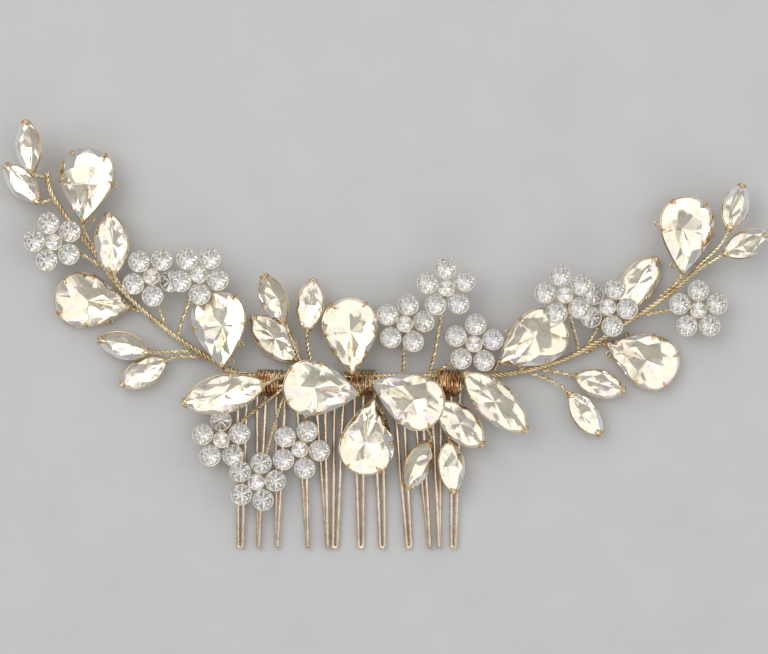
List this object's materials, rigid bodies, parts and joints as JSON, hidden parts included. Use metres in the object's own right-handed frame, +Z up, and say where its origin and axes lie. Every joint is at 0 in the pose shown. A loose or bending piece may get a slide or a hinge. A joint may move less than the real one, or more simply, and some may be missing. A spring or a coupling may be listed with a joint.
{
  "type": "decorative hair comb",
  "caption": "Wire hair comb whose spine carries a curved vine of faceted crystal leaves and small rhinestone flowers.",
  "frame": {"origin": "centre of the bounding box in plan, on the plane that the comb lies on", "axes": "+Z up from the face the comb lies on towards the stones, +X to the right along the comb's spine, teeth towards -Y"},
  "size_m": [0.181, 0.1016, 0.0123],
  "materials": {
    "comb_wire": "polished champagne-gold twisted wire",
    "vine_wire": "polished pale gold twisted wire",
    "binding_wire": "close-wound fine copper-gold wire, semi-gloss",
    "setting_metal": "stamped and plated, semi-gloss gold with amber shadows",
    "flower_metal": "plated pale gold cups, polished rims",
    "crystal": "faceted foil-backed glass, clear champagne",
    "rhinestone": "faceted foil-backed glass, clear white"
  },
  "bodies": {
    "root": {"comb_spine": "comb_wire", "comb_teeth": "comb_wire", "vine_wire_left": "vine_wire", "vine_wire_right": "vine_wire", "binding_left": "binding_wire", "binding_centre": "binding_wire", "binding_right": "binding_wire", "stems_left": "vine_wire", "stems_centre": "vine_wire", "stems_right": "vine_wire", "pear_crystal_1": "crystal", "pear_crystal_2": "crystal", "pear_crystal_3": "crystal", "pear_crystal_4": "crystal", "pear_crystal_5": "crystal", "pear_crystal_6": "crystal", "pear_crystal_7": "crystal", "pear_crystal_8": "crystal", "pear_crystal_9": "crystal", "pear_crystal_10": "crystal", "large_marquise_1": "crystal", "large_marquise_2": "crystal", "medium_marquise_1": "crystal", "medium_marquise_2": "crystal", "medium_marquise_3": "crystal", "medium_marquise_4": "crystal", "small_marquise_1": "crystal", "small_marquise_2": "crystal", "small_marquise_3": "crystal", "small_marquise_4": "crystal", "small_marquise_5": "crystal", "small_marquise_6": "crystal", "small_marquise_7": "crystal", "small_marquise_8": "crystal", "small_marquise_9": "crystal", "small_marquise_10": "crystal", "small_marquise_11": "crystal", "small_marquise_12": "crystal", "pear_settings_left": "setting_metal", "pear_settings_centre": "setting_metal", "pear_settings_right": "setting_metal", "marquise_settings_left": "setting_metal", "marquise_settings_centre": "setting_metal", "marquise_settings_right": "setting_metal", "flower_frame_1": "flower_metal", "flower_frame_2": "flower_metal", "flower_frame_3": "flower_metal", "flower_frame_4": "flower_metal", "flower_frame_5": "flower_metal", "flower_frame_6": "flower_metal", "flower_frame_7": "flower_metal", "flower_frame_8": "flower_metal", "flower_frame_9": "flower_metal", "flower_frame_10": "flower_metal", "flower_frame_11": "flower_metal", "flower_frame_12": "flower_metal", "rhinestones_left": "rhinestone", "rhinestones_centre": "rhinestone", "rhinestones_right": "rhinestone", "rhinestones_comb": "rhinestone"}
  },
  "joints": []
}
